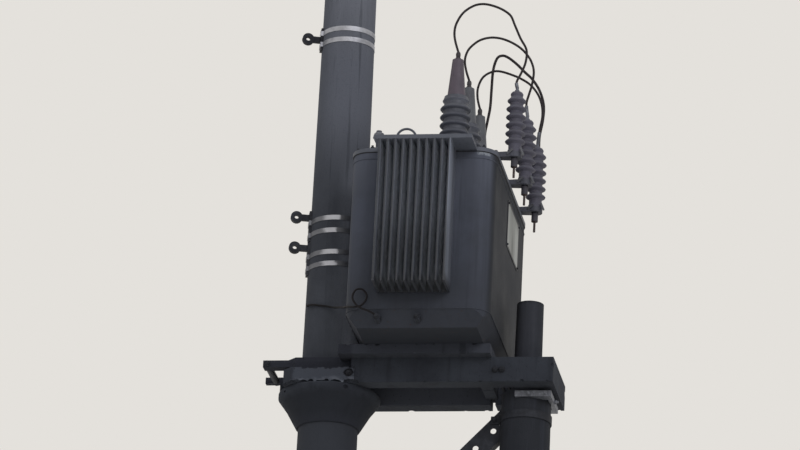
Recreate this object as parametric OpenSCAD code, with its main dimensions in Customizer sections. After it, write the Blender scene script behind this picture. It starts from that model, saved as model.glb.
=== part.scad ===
// Two-pole transformer platform in concrete, with a finned oil transformer.
// Millimetres. X runs along the pole line, -Y faces the viewer, Z is up.
// The origin is the centre of the main pole's foot at ground level.

/* [Poles] */
// Height of the main pole above ground
main_pole_h = 11500; // [9000:50:14000]
// Diameter of the main pole at its top
main_pole_top_d = 200; // [160:5:260]
// Widening of a pole for each metre down
pole_taper = 15; // [10:1:20]
// Distance between the axes of the two poles
pole_spacing = 1000; // [950:5:1500]
// Height of the short pole's top above the platform's underside
short_pole_rise = 484; // [300:1:900]
// Diameter of the short pole at its top
short_pole_top_d = 135; // [110:1:180]
// Diameter of the short pole's thick part at its shoulder
shoulder_d = 247; // [200:1:360]

/* [Platform] */
// Height of the platform's underside above ground
platform_h = 5000; // [3500:10:7000]
// Thickness of the deck
deck_t = 50; // [40:1:90]
// Depth of the ribs under the deck
rib_h = 128; // [110:1:200]
// Distance of a rib's outer face from the pole line
rib_face_y = 230; // [200:1:320]
// Distance of the deck's edge from the pole line
deck_edge_y = 295; // [240:1:420]
// Position of the deck's right end along the pole line
deck_end_x = 850; // [700:5:1200]

/* [Tank] */
// Width of the tank along the pole line
tank_w = 726; // [500:2:1100]
// Depth of the tank across the pole line
tank_d = 1184; // [600:2:1400]
// Height of the tank without its cover
tank_h = 910; // [600:2:1400]
// Centre of the tank along the pole line
tank_x = 514; // [450:1:700]
// Radius of the tank's upright corners
tank_corner_r = 100; // [40:1:200]
// Thickness of the cover
cover_t = 20; // [8:1:30]
// Overhang of the cover past the walls
cover_lip = 5; // [3:1:50]

/* [Fins] */
// Position of a fin bank's left side along the pole line
fin_bank_x = 319; // [250:1:400]
// Width of a fin bank
fin_bank_w = 363; // [200:1:420]
// Height of the fin banks' lower edge above the deck
fin_foot = 162; // [100:2:300]
// Reach of the fins from the wall
fin_reach = 185; // [60:1:300]
// Number of fins in a bank
fin_count = 10; // [5:1:20]
// Thickness of one fin
fin_t = 12; // [8:1:20]

/* [Insulators] */
// Distance between neighbouring high-voltage bushings
hv_pitch = 390; // [300:5:450]
// Position of the high-voltage bushings along the pole line
hv_x = 637; // [500:1:780]
// Radius of a bushing's sheds
hv_shed_r = 78; // [66:1:100]
// Position of the surge arresters along the pole line
arrester_x = 945; // [930:1:970]
// Radius of an arrester's sheds
arrester_shed_r = 51; // [38:1:80]
// Position of the low-voltage bushings along the pole line
lv_x = 242; // [200:1:400]

/* [Pole hardware] */
// Width of the steel straps round the main pole
strap_w = 25; // [15:1:30]

/* [Hidden] */
deck_top = platform_h + rib_h + deck_t;
short_pole_top = platform_h + short_pole_rise;
tank_top = deck_top + tank_h;
cover_top = tank_top + cover_t;
tank_right = tank_x + tank_w / 2;
wall_y = tank_d / 2;
fin_tip_y = wall_y + fin_reach;
arrester_base = cover_top + 42;
left_rod_x = -298;
lug_z = platform_h + 124;
lug_front_y = -160;
lug_inner_y = -102;
lug_rear_y = 96;

// Radius of the main pole at a height above ground
function main_r(z) = main_pole_top_d / 2 + (main_pole_h - z) / 1000 * pole_taper / 2;

// Radius of the short pole's upper part at a height above ground
function short_r(z) = short_pole_top_d / 2 + (short_pole_top - z) / 1000 * pole_taper / 2;

// Radius of the short pole's thick part at a height above ground
function thick_r(z) = shoulder_d / 2 + (platform_h - z) / 1000 * pole_taper / 2;

// Rectangle in plan with rounded corners, about its centre
module rounded_plan(w, d, r) {
    square([w - 2 * r, d], center = true);
    square([w, d - 2 * r], center = true);
    for (sx = [-1, 1], sy = [-1, 1])
        translate([sx * (w / 2 - r), sy * (d / 2 - r)])
            circle(r = r, $fn = 64);
}

// Cone that stands for the main pole where a piece is cut to fit it
module main_pole_cut(z0, z1) {
    translate([0, 0, z0])
        cylinder(r1 = main_r(z0), r2 = main_r(z1), h = z1 - z0, $fn = 96);
}

// Cone that stands for the short pole's upper part where a piece is cut to fit it
module short_pole_cut(z0, z1) {
    translate([pole_spacing, 0, z0])
        cylinder(r1 = short_r(z0), r2 = short_r(z1), h = z1 - z0, $fn = 96);
}

// Cone that stands for the short pole's thick part where a piece is cut to fit it
module thick_pole_cut(z0, z1) {
    translate([pole_spacing, 0, z0])
        cylinder(r1 = thick_r(z0), r2 = thick_r(z1), h = z1 - z0, $fn = 96);
}

// Points of a smooth curve through given points
function spline_point(p0, p1, p2, p3, t) =
    0.5 * (2 * p1 + (p2 - p0) * t + (2 * p0 - 5 * p1 + 4 * p2 - p3) * t * t
    + (3 * p1 - p0 - 3 * p2 + p3) * t * t * t);
function spline(p, n) = [
    for (i = [0 : len(p) - 2])
        for (k = [0 : n - 1])
            spline_point(p[max(i - 1, 0)], p[i], p[i + 1], p[min(i + 2, len(p) - 1)], k / n),
    p[len(p) - 1]
];

function unit(v) = v / norm(v);
function across(v, t) = unit(v - (v * t) * t);
function tangent(p, i) = unit(p[min(i + 1, len(p) - 1)] - p[max(i - 1, 0)]);

// Ring of points about one point of a path
function ring(c, t, side, r, n) =
    let (b = cross(t, side))
    [for (k = [0 : n - 1]) c + r * (cos(360 * k / n) * side + sin(360 * k / n) * b)];

// Round rod or cable along a path, its side direction carried along without a twist
module swept_rod(p, r, n, side) {
    m = len(p);
    sides = [for (i = 0, a = across(side, tangent(p, 0)); i < m;
        i = i + 1, a = i < m ? across(a, tangent(p, i)) : a) a];
    points = [for (i = [0 : m - 1]) each ring(p[i], tangent(p, i), sides[i], r, n)];
    walls = [for (i = [0 : m - 2], k = [0 : n - 1])
        [i * n + k, (i + 1) * n + k, (i + 1) * n + (k + 1) % n, i * n + (k + 1) % n]];
    first = [[for (k = [0 : n - 1]) k]];
    last = [[for (k = [n - 1 : -1 : 0]) (m - 1) * n + k]];
    polyhedron(points = points, faces = concat(first, walls, last), convexity = 6);
}

// Spun concrete pole, tapered all the way
module main_pole() {
    color("darkgray")
        cylinder(r1 = main_r(0), r2 = main_r(main_pole_h), h = main_pole_h, $fn = 96);
}

// Short pole with a shoulder that carries the platform's right end
module short_pole() {
    color("darkgray")
        translate([pole_spacing, 0, 0]) {
            cylinder(r1 = thick_r(0), r2 = thick_r(platform_h), h = platform_h, $fn = 96);
            translate([0, 0, platform_h])
                cylinder(r1 = short_r(platform_h), r2 = short_r(short_pole_top),
                    h = short_pole_rise, $fn = 96);
        }
}

// Front half of the platform, from the poles' line to the viewer's side
module half_slab() {
    difference() {
        union() {
            // Lower and upper steps of the block round the main pole
            translate([0, 0, platform_h])
                linear_extrude(height = 80)
                    polygon([[-256, -2], [-256, -140], [-161, -235], [162, -235], [162, -2]]);
            translate([0, 0, platform_h + 70])
                linear_extrude(height = 80)
                    polygon([[-205, -2], [-205, -125], [-150, -180], [162, -180], [162, -2]]);
            // Rib under the deck, through to the short pole
            translate([142, -rib_face_y, platform_h])
                cube([pole_spacing - 172, 95, rib_h]);
            // Cross rib at the deck's right end
            translate([deck_end_x - 75, -rib_face_y + 90, platform_h + 30])
                cube([60, rib_face_y - 92, rib_h - 25]);
            // Deck
            translate([84, -deck_edge_y, platform_h + rib_h])
                cube([deck_end_x - 84, deck_edge_y - 2, deck_t]);
            // Block round the short pole
            translate([pole_spacing - 45, -rib_face_y, platform_h])
                cube([205, rib_face_y - 2, rib_h]);
        }
        main_pole_cut(platform_h - 50, platform_h + 300);
        short_pole_cut(platform_h - 50, platform_h + 300);
        // Holes for the two tie rods between the deck and the short pole
        for (x = [deck_end_x + 20, deck_end_x + 53])
            translate([x, 0, platform_h + 62])
                rotate([90, 0, 0])
                    cylinder(r = 8, h = 400, $fn = 32);
    }
}

module front_half_slab() {
    color("gray")
        difference() {
            union() {
                half_slab();
                // Lug for the left tie rod
                translate([-318, lug_front_y, lug_z - 18])
                    cube([153, lug_inner_y - lug_front_y, 36]);
            }
            translate([left_rod_x, 0, lug_z])
                rotate([90, 0, 0])
                    cylinder(r = 8, h = 300, $fn = 32);
            main_pole_cut(platform_h - 50, platform_h + 300);
            // The lower step ends flush with the upper one here, which leaves a gap below the lug
            translate([-257, -237, platform_h - 1])
                cube([52, 236, 82]);
        }
}

module rear_half_slab() {
    color("gray")
        difference() {
            union() {
                mirror([0, 1, 0])
                    half_slab();
                // Longer, thinner lug for the left tie rod
                translate([-350, lug_rear_y, lug_z - 16])
                    cube([185, 32, 32]);
            }
            translate([left_rod_x, 300, lug_z])
                rotate([90, 0, 0])
                    cylinder(r = 8, h = 300, $fn = 32);
            main_pole_cut(platform_h - 50, platform_h + 300);
            // Notch in the rib's lower edge
            translate([797, rib_face_y - 100, platform_h - 10])
                cube([25, 110, 54]);
        }
}

// Collar on the main pole that carries the platform's left end
module support_collar() {
    color("gray")
        difference() {
            translate([0, 0, platform_h])
                rotate_extrude($fn = 96)
                    polygon([[100, -178], [159, -178], [213, -83], [256, -24], [256, 0], [100, 0]]);
            main_pole_cut(platform_h - 260, platform_h + 60);
        }
}

// Threaded rod that clamps the two halves of the platform
module tie_rod(x, y0, y1, z) {
    color("dimgray")
        translate([x, y1, z])
            rotate([90, 0, 0]) {
                translate([0, 0, -22])
                    cylinder(r = 8, h = y1 - y0 + 44, $fn = 32);
                translate([0, 0, y1 - y0])
                    cylinder(r = 14, h = 13, $fn = 6);
                translate([0, 0, -13])
                    cylinder(r = 14, h = 13, $fn = 6);
            }
}

module tie_rod_left() {
    tie_rod(left_rod_x, lug_front_y, lug_rear_y + 32, lug_z);
    // Sleeve that keeps the lugs apart
    color("dimgray")
        translate([left_rod_x, lug_rear_y, lug_z])
            rotate([90, 0, 0])
                cylinder(r = 18, h = lug_rear_y - lug_inner_y, $fn = 48);
}

module tie_rod_inner() {
    tie_rod(deck_end_x + 20, -rib_face_y, rib_face_y, platform_h + 62);
}

module tie_rod_outer() {
    tie_rod(deck_end_x + 53, -rib_face_y, rib_face_y, platform_h + 62);
}

// Flat steel clamp round the short pole under its shoulder
module short_pole_clamp() {
    z = platform_h - 47;
    color("silver")
        difference() {
            union() {
                translate([pole_spacing - 41, -138, z])
                    cube([182, 60, 30]);
                translate([pole_spacing - 41, 78, z])
                    cube([182, 60, 30]);
                translate([pole_spacing + 119, -138, z])
                    cube([22, 276, 30]);
            }
            thick_pole_cut(z - 10, z + 47);
        }
}

// Perforated steel angle from the short pole down to the main pole
module diagonal_brace() {
    color("dimgray")
        difference() {
            translate([553, -4, platform_h - 570])
                rotate([0, -46.5, 0])
                    difference() {
                        union() {
                            translate([-700, 0, 0])
                                cube([1400, 8, 110]);
                            translate([-700, 0, 0])
                                cube([1400, 60, 8]);
                        }
                        for (i = [-4 : 4])
                            translate([125 * i - 23, 20, 58])
                                rotate([90, 0, 0])
                                    cylinder(r = 15, h = 40, $fn = 32);
                    }
            // Ends shaped to the two poles and notched for the clamps
            translate([0, 0, platform_h - 1400])
                cylinder(r1 = main_r(platform_h - 1400) + 1, r2 = main_r(platform_h + 100) + 1,
                    h = 1500, $fn = 96);
            translate([0, 0, platform_h - 912])
                cylinder(r = main_r(platform_h - 910) + 7, h = 44, $fn = 96);
            translate([pole_spacing, 0, platform_h - 1400])
                cylinder(r1 = thick_r(platform_h - 1400) + 1, r2 = thick_r(platform_h + 100) + 1,
                    h = 1500, $fn = 96);
            translate([pole_spacing, 0, platform_h - 152])
                cylinder(r = thick_r(platform_h - 150) + 7, h = 44, $fn = 96);
            translate([-600, -100, platform_h - 1400])
                cube([600, 200, 1500]);
            translate([pole_spacing, -100, platform_h - 1400])
                cube([600, 200, 1500]);
        }
}

module brace_clamp_lower() {
    z = platform_h - 910;
    color("dimgray")
        difference() {
            union() {
                translate([0, 0, z])
                    cylinder(r = main_r(z) + 6, h = 40, $fn = 96);
                translate([main_r(z) - 20, -12, z])
                    cube([80, 8, 40]);
            }
            main_pole_cut(z - 10, z + 60);
        }
}

module brace_clamp_upper() {
    z = platform_h - 150;
    color("dimgray")
        difference() {
            union() {
                translate([pole_spacing, 0, z])
                    cylinder(r = thick_r(z) + 6, h = 40, $fn = 96);
                translate([pole_spacing - thick_r(z) - 50, -12, z])
                    cube([70, 8, 40]);
            }
            thick_pole_cut(z - 10, z + 60);
        }
}

// Outline of a tank wall seen square on, with its lower edge sloped in
module wall_outline(w) {
    polygon([[-w / 2 + 62, 0], [w / 2 - 62, 0], [w / 2, 79], [w / 2, tank_h],
        [-w / 2, tank_h], [-w / 2, 79]]);
}

// Tank with rounded upright corners, sloped foot and earth pads
module tank() {
    color("slategray") {
        intersection() {
            translate([tank_x, 0, deck_top])
                linear_extrude(height = tank_h)
                    rounded_plan(tank_w, tank_d, tank_corner_r);
            translate([tank_x, 800, deck_top])
                rotate([90, 0, 0])
                    linear_extrude(height = 1600)
                        wall_outline(tank_w);
            translate([tank_x - 800, 0, deck_top])
                rotate([90, 0, 90])
                    linear_extrude(height = 1600)
                        wall_outline(tank_d);
        }
        for (x = [324, 524], s = [-1, 1])
            translate([x, s * (wall_y - 60), deck_top + 34])
                rotate([s * -90, 0, 0])
                    cylinder(r = 17, h = 76, $fn = 48);
    }
}

// Lifting eye of round bar on the cover
module lifting_eye() {
    for (x = [-48, 48])
        translate([x, 0, -2])
            cylinder(r = 6, h = 52, $fn = 32);
    intersection() {
        translate([0, 0, 50])
            rotate([90, 0, 0])
                rotate_extrude($fn = 96)
                    translate([48, 0])
                        circle(r = 6, $fn = 32);
        translate([-60, -10, 50])
            cube([120, 20, 60]);
    }
}

// Cover plate with its extensions over the fins and two lifting eyes
module tank_cover() {
    color("slategray") {
        translate([tank_x, 0, tank_top])
            linear_extrude(height = cover_t)
                rounded_plan(tank_w + 2 * cover_lip, tank_d + 2 * cover_lip, tank_corner_r + cover_lip);
        for (s = [0, 1])
            mirror([0, s, 0])
                translate([fin_bank_x - 25, -fin_tip_y, tank_top])
                    cube([fin_bank_w + 130, fin_reach + 60, cover_t]);
        for (s = [-1, 1])
            translate([428, s * 600, cover_top])
                lifting_eye();
    }
}

// Corrugated wall: folded sheet with round fin tips
module fin_bank() {
    pitch = (fin_bank_w - fin_t) / (fin_count - 1);
    translate([fin_bank_x, 0, deck_top + fin_foot])
        linear_extrude(height = tank_h - fin_foot) {
            for (i = [0 : fin_count - 1])
                translate([i * pitch, -fin_tip_y]) {
                    translate([0, fin_t / 2])
                        square([fin_t, fin_reach - fin_t / 2]);
                    translate([fin_t / 2, fin_t / 2])
                        circle(r = fin_t / 2, $fn = 32);
                }
            translate([0, -wall_y - 12])
                square([fin_bank_w, 12]);
        }
}

module front_fin_bank() {
    color("lightslategray")
        fin_bank();
}

module rear_fin_bank() {
    color("lightslategray")
        mirror([0, 1, 0])
            fin_bank();
}

// High-voltage porcelain bushing: flange, seven sheds, tapered boot and terminal
module hv_bushing(y) {
    color("saddlebrown")
        translate([hv_x, y, cover_top])
            rotate_extrude($fn = 96)
                polygon(concat(
                    [[0, 0], [88, 0], [88, 16], [68, 22], [60, 34], [60, 48]],
                    [for (i = [0 : 6], r = i < 6 ? hv_shed_r : hv_shed_r - 10)
                        each [[r - 3, 52 + 44.5 * i], [r, 56 + 44.5 * i], [r - 3, 61 + 44.5 * i],
                            [60, 76 + 44.5 * i], [60, min(90.5 + 44.5 * i, 345)]]],
                    [[46, 349], [28, 549], [14, 553], [14, 560], [10, 565], [12, 572],
                        [12, 584], [9, 592], [0, 592]]));
}

module hv_bushing_front() {
    hv_bushing(-hv_pitch);
}

module hv_bushing_middle() {
    hv_bushing(0);
}

module hv_bushing_rear() {
    hv_bushing(hv_pitch);
}

// Low-voltage bushing with two sheds and a stud
module lv_bushing(y) {
    color("saddlebrown")
        translate([lv_x, y, cover_top])
            rotate_extrude($fn = 64)
                polygon([[0, 0], [45, 0], [45, 12], [30, 20], [30, 34], [44, 40], [44, 46],
                    [30, 56], [30, 66], [40, 72], [40, 78], [28, 90], [20, 102], [14, 106],
                    [14, 194], [0, 194]]);
}

module lv_bushing_1() {
    lv_bushing(-330);
}

module lv_bushing_2() {
    lv_bushing(-110);
}

module lv_bushing_3() {
    lv_bushing(110);
}

module lv_bushing_4() {
    lv_bushing(330);
}

// Surge arrester: shedded polymer housing over a stud that hangs below its bracket
module surge_arrester(y) {
    color("dimgray")
        translate([arrester_x, y, arrester_base])
            rotate_extrude($fn = 96)
                polygon(concat(
                    [[0, -130], [6, -130], [6, -78], [17, -74], [17, -30], [8, -26], [8, 0],
                        [36, 0], [36, 14], [33, 18]],
                    [for (i = [0 : 5], r = i < 5 ? arrester_shed_r : arrester_shed_r - 4)
                        each [[33, 46 + 44 * i], [r - 2, 56 + 44 * i], [r, 60 + 44 * i],
                            [r - 2, 63 + 44 * i], [33, 76 + 44 * i]]],
                    [[29, 304], [32, 312], [32, 317], [26, 326], [12, 332], [12, 338],
                        [8, 338], [8, 350], [0, 350]]));
}

module surge_arrester_front() {
    surge_arrester(-hv_pitch);
}

module surge_arrester_middle() {
    surge_arrester(0);
}

module surge_arrester_rear() {
    surge_arrester(hv_pitch);
}

// Moulded insulating arm from the cover's edge to an arrester
module arrester_bracket(y) {
    color("gray")
        difference() {
            union() {
                translate([0, 0, arrester_base - 26])
                    linear_extrude(height = 26) {
                        translate([arrester_x, y])
                            circle(r = 38, $fn = 64);
                        polygon([[arrester_x - 115, y - 22], [arrester_x - 20, y - 32],
                            [arrester_x - 20, y + 32], [arrester_x - 115, y + 22]]);
                    }
                translate([arrester_x - 115, y - 22, cover_top])
                    cube([46, 44, 20]);
            }
            translate([arrester_x, y, arrester_base - 40])
                cylinder(r = 10, h = 60, $fn = 32);
        }
}

module arrester_bracket_front() {
    arrester_bracket(-hv_pitch);
}

module arrester_bracket_middle() {
    arrester_bracket(0);
}

module arrester_bracket_rear() {
    arrester_bracket(hv_pitch);
}

// Leads from the bushings' terminals over to the tops of the arresters
module jumper_lead_front() {
    y = -hv_pitch;
    top = cover_top + 592;
    color("black")
        swept_rod(spline([[hv_x, y, top], [620, y, top + 55], [612, y, top + 104],
            [619, y, top + 155], [650, y, top + 213], [698, y, top + 250], [745, y, top + 262],
            [796, y, top + 254], [852, y, top + 230], [895, y, top + 196], [918, y, top + 145],
            [950, y, top + 72], [983, y, top + 8], [981, y, top - 60], [960, y, top - 120],
            [940, y, top - 165], [arrester_x, y, arrester_base + 350]], 3), 6, 8, [0, 1, 0]);
}

module jumper_lead_middle() {
    y = 0;
    top = cover_top + 592;
    color("black")
        swept_rod(spline([[hv_x, y, top], [618, y, top + 58], [609, y, top + 112],
            [617, y, top + 156], [638, y, top + 190], [681, y, top + 224], [732, y, top + 238],
            [784, y, top + 234], [836, y, top + 215], [889, y, top + 182], [927, y, top + 143],
            [954, y, top + 98], [967, y, top + 44], [960, y, top - 26], [947, y, top - 78],
            [936, y, top - 130], [arrester_x, y, arrester_base + 350]], 3), 6, 8, [0, 1, 0]);
}

module jumper_lead_rear() {
    y = hv_pitch;
    top = cover_top + 592;
    color("black")
        swept_rod(spline([[hv_x, y, top], [622, y, top + 58], [621, y, top + 118],
            [644, y, top + 176], [688, y, top + 206], [734, y, top + 209], [800, y, top + 187],
            [848, y, top + 164], [896, y, top + 130], [935, y, top + 79], [958, y, top + 18],
            [963, y, top - 48], [952, y, top - 120],
            [arrester_x, y, arrester_base + 350]], 3), 6, 8, [0, 1, 0]);
}

// Thicker lead from the cover behind the rear bushing to the rear arrester
module cover_lead() {
    color("black")
        swept_rod(spline([[668, 530, cover_top - 4], [660, 520, cover_top + 90],
            [652, 490, cover_top + 300], [657, 460, cover_top + 470], [668, 450, cover_top + 540],
            [680, 450, cover_top + 625], [683, 450, cover_top + 725],
            [687, 450, cover_top + 830], [704, 450, cover_top + 896],
            [731, 450, cover_top + 913], [763, 450, cover_top + 902],
            [810, 450, cover_top + 864], [853, 448, cover_top + 819],
            [897, 444, cover_top + 774], [938, 438, cover_top + 706],
            [962, 430, cover_top + 625], [962, 422, cover_top + 540],
            [950, 412, cover_top + 450],
            [arrester_x + 6, hv_pitch + 8, arrester_base + 336]], 3), 7, 8, [0, 1, 0]);
}

// Blank plate on the tank's right wall
module side_plate() {
    color("lightgray")
        translate([tank_right, -93, platform_h + 770])
            cube([4, 383, 245]);
}

// Earth lead from the main pole to the left pad, with one loop
module earth_lead() {
    z = platform_h;
    color("black")
        swept_rod(spline([[-116, -80, z + 458], [-124, -96, z + 455], [-86, -130, z + 447],
            [-20, -158, z + 430], [30, -185, z + 412], [80, -280, z + 378],
            [128, -410, z + 331], [140, -495, z + 303], [170, -570, z + 277], [213, -618, z + 259],
            [247, -622, z + 265], [270, -622, z + 294], [271, -622, z + 325],
            [247, -624, z + 349], [218, -628, z + 344], [204, -634, z + 310],
            [213, -638, z + 279], [242, -636, z + 250], [288, -632, z + 232],
            [324, -616, z + 214], [324, -604, z + 212]], 3), 5, 8, [0, 0, 1]);
}

// Anchor with a hook on the pole's left side
module anchor_bracket(z, h, arm_z, side) {
    r = main_r(z + h / 2);
    color("gray")
        rotate([0, 0, side])
            difference() {
                union() {
                    translate([r - 4, -25, z])
                        cube([14, 50, h]);
                    translate([r, -9, arm_z - 16])
                        cube([72, 18, 32]);
                    translate([r + 74, 12, arm_z])
                        rotate([90, 0, 0])
                            cylinder(r = 30, h = 24, $fn = 48);
                }
                translate([r + 74, 30, arm_z])
                    rotate([90, 0, 0])
                        cylinder(r = 11, h = 60, $fn = 48);
                main_pole_cut(z - 50, z + h + 50);
            }
}

module anchor_bracket_upper() {
    anchor_bracket(platform_h + 1860, 118, platform_h + 1919, 197);
}

module anchor_bracket_middle() {
    anchor_bracket(platform_h + 817, 160, platform_h + 946, 195);
}

module anchor_bracket_lower() {
    anchor_bracket(platform_h + 635, 170, platform_h + 782, 195);
}

// Stainless strap round the main pole, over the back plate of the anchor at height mid
module strap(z, mid, side) {
    r = main_r(z);
    plate_r = main_r(mid);
    color("lightgray")
        difference() {
            union() {
                translate([0, 0, z])
                    cylinder(r = r + 2, h = strap_w, $fn = 96);
                rotate([0, 0, side])
                    translate([r - 20, -28, z])
                        cube([plate_r - r + 32, 56, strap_w]);
            }
            main_pole_cut(z - 20, z + 50);
            rotate([0, 0, side])
                translate([r - 24, -25, z - 10])
                    cube([plate_r - r + 34, 50, strap_w + 20]);
        }
}

module strap_1() {
    strap(platform_h + 1936, platform_h + 1919, 197);
}

module strap_2() {
    strap(platform_h + 1876, platform_h + 1919, 197);
}

module strap_3() {
    strap(platform_h + 900, platform_h + 897, 195);
}

module strap_4() {
    strap(platform_h + 832, platform_h + 897, 195);
}

module strap_5() {
    strap(platform_h + 716, platform_h + 720, 195);
}

module strap_6() {
    strap(platform_h + 653, platform_h + 720, 195);
}

main_pole();
short_pole();
front_half_slab();
rear_half_slab();
support_collar();
tie_rod_left();
tie_rod_inner();
tie_rod_outer();
short_pole_clamp();
diagonal_brace();
brace_clamp_upper();
brace_clamp_lower();
tank();
tank_cover();
front_fin_bank();
rear_fin_bank();
hv_bushing_front();
hv_bushing_middle();
hv_bushing_rear();
lv_bushing_1();
lv_bushing_2();
lv_bushing_3();
lv_bushing_4();
surge_arrester_front();
surge_arrester_middle();
surge_arrester_rear();
arrester_bracket_front();
arrester_bracket_middle();
arrester_bracket_rear();
jumper_lead_front();
jumper_lead_middle();
jumper_lead_rear();
cover_lead();
side_plate();
earth_lead();
anchor_bracket_upper();
anchor_bracket_middle();
anchor_bracket_lower();
strap_1();
strap_2();
strap_3();
strap_4();
strap_5();
strap_6();
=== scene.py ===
import math
import random

import bmesh
import bpy
from mathutils import Matrix, Vector, noise


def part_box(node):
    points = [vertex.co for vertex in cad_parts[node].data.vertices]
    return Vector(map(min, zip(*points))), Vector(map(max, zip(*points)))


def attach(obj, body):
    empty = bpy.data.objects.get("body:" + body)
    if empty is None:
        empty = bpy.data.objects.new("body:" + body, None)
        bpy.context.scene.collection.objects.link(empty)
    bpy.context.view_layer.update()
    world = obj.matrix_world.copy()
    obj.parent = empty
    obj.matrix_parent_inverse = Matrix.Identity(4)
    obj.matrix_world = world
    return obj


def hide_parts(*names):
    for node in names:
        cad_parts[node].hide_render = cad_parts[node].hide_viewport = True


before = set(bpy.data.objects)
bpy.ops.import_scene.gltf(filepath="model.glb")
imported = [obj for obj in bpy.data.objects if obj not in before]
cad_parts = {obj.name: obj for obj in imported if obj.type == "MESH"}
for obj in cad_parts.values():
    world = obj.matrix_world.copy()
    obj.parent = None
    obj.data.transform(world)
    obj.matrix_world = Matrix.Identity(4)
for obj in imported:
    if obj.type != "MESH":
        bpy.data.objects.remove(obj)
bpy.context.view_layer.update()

# Camera
# A long lens in front and a little to the right looks up at the transformer, as the photograph
# does. It stands lower than the poles' feet, as if down a slope. The slight tilt is kept as roll.
image_width = 800
image_height = 450
platform_underside = Vector((0, 0, 5.0))
platform_pixel = (329.5, 397.24)
view_azimuth = math.radians(10.35)
view_elevation = math.radians(18.64)
view_roll = math.radians(3.05)
view_distance = 30.45
pixels_per_metre = 199.05
focal_pixels = pixels_per_metre * view_distance

forward = Vector((
    -math.sin(view_azimuth) * math.cos(view_elevation),
    math.cos(view_azimuth) * math.cos(view_elevation),
    math.sin(view_elevation),
))
level_right = Vector((math.cos(view_azimuth), math.sin(view_azimuth), 0))
level_up = level_right.cross(forward)
image_right = level_right * math.cos(view_roll) + level_up * math.sin(view_roll)
image_up = level_up * math.cos(view_roll) - level_right * math.sin(view_roll)
aim = Matrix((image_right, image_up, -forward)).transposed()
# The camera is then turned until the platform's underside shows at its own pixel.
off_centre = Vector((
    (platform_pixel[0] - image_width / 2) / focal_pixels,
    (image_height / 2 - platform_pixel[1]) / focal_pixels,
    -1,
))
turn = off_centre.rotation_difference(Vector((0, 0, -1))).to_matrix()
camera_data = bpy.data.cameras.new("camera")
camera_data.sensor_width = 36
camera_data.lens = focal_pixels / image_width * camera_data.sensor_width
camera_data.clip_end = 200
camera = bpy.data.objects.new("camera", camera_data)
camera.matrix_world = (
    Matrix.Translation(platform_underside - forward * view_distance) @ (aim @ turn).to_4x4()
)
bpy.context.scene.collection.objects.link(camera)
bpy.context.scene.camera = camera


# Poles
# Two tapered poles of spun concrete, set in the ground. A fast-turning steel mould leaves their
# skin dense and smooth. Soot and rain have streaked them, and below the platform they are painted
# darker, as shade under it.
def linear(hex_colour):
    """Linear colour of an sRGB hex value."""
    parts = [int(hex_colour[i : i + 2], 16) / 255 for i in (1, 3, 5)]
    return tuple(c / 12.92 if c <= 0.04045 else ((c + 0.055) / 1.055) ** 2.4 for c in parts) + (1,)


def add(tree, kind, sockets=None, **settings):
    """Adds one node: sockets are values or links for its inputs, settings are its properties."""
    made = tree.nodes.new(kind)
    for name, value in settings.items():
        setattr(made, name, value)
    for name, value in (sockets or {}).items():
        if isinstance(value, bpy.types.NodeSocket):
            tree.links.new(value, made.inputs[name])
        else:
            made.inputs[name].default_value = value
    return made


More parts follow.
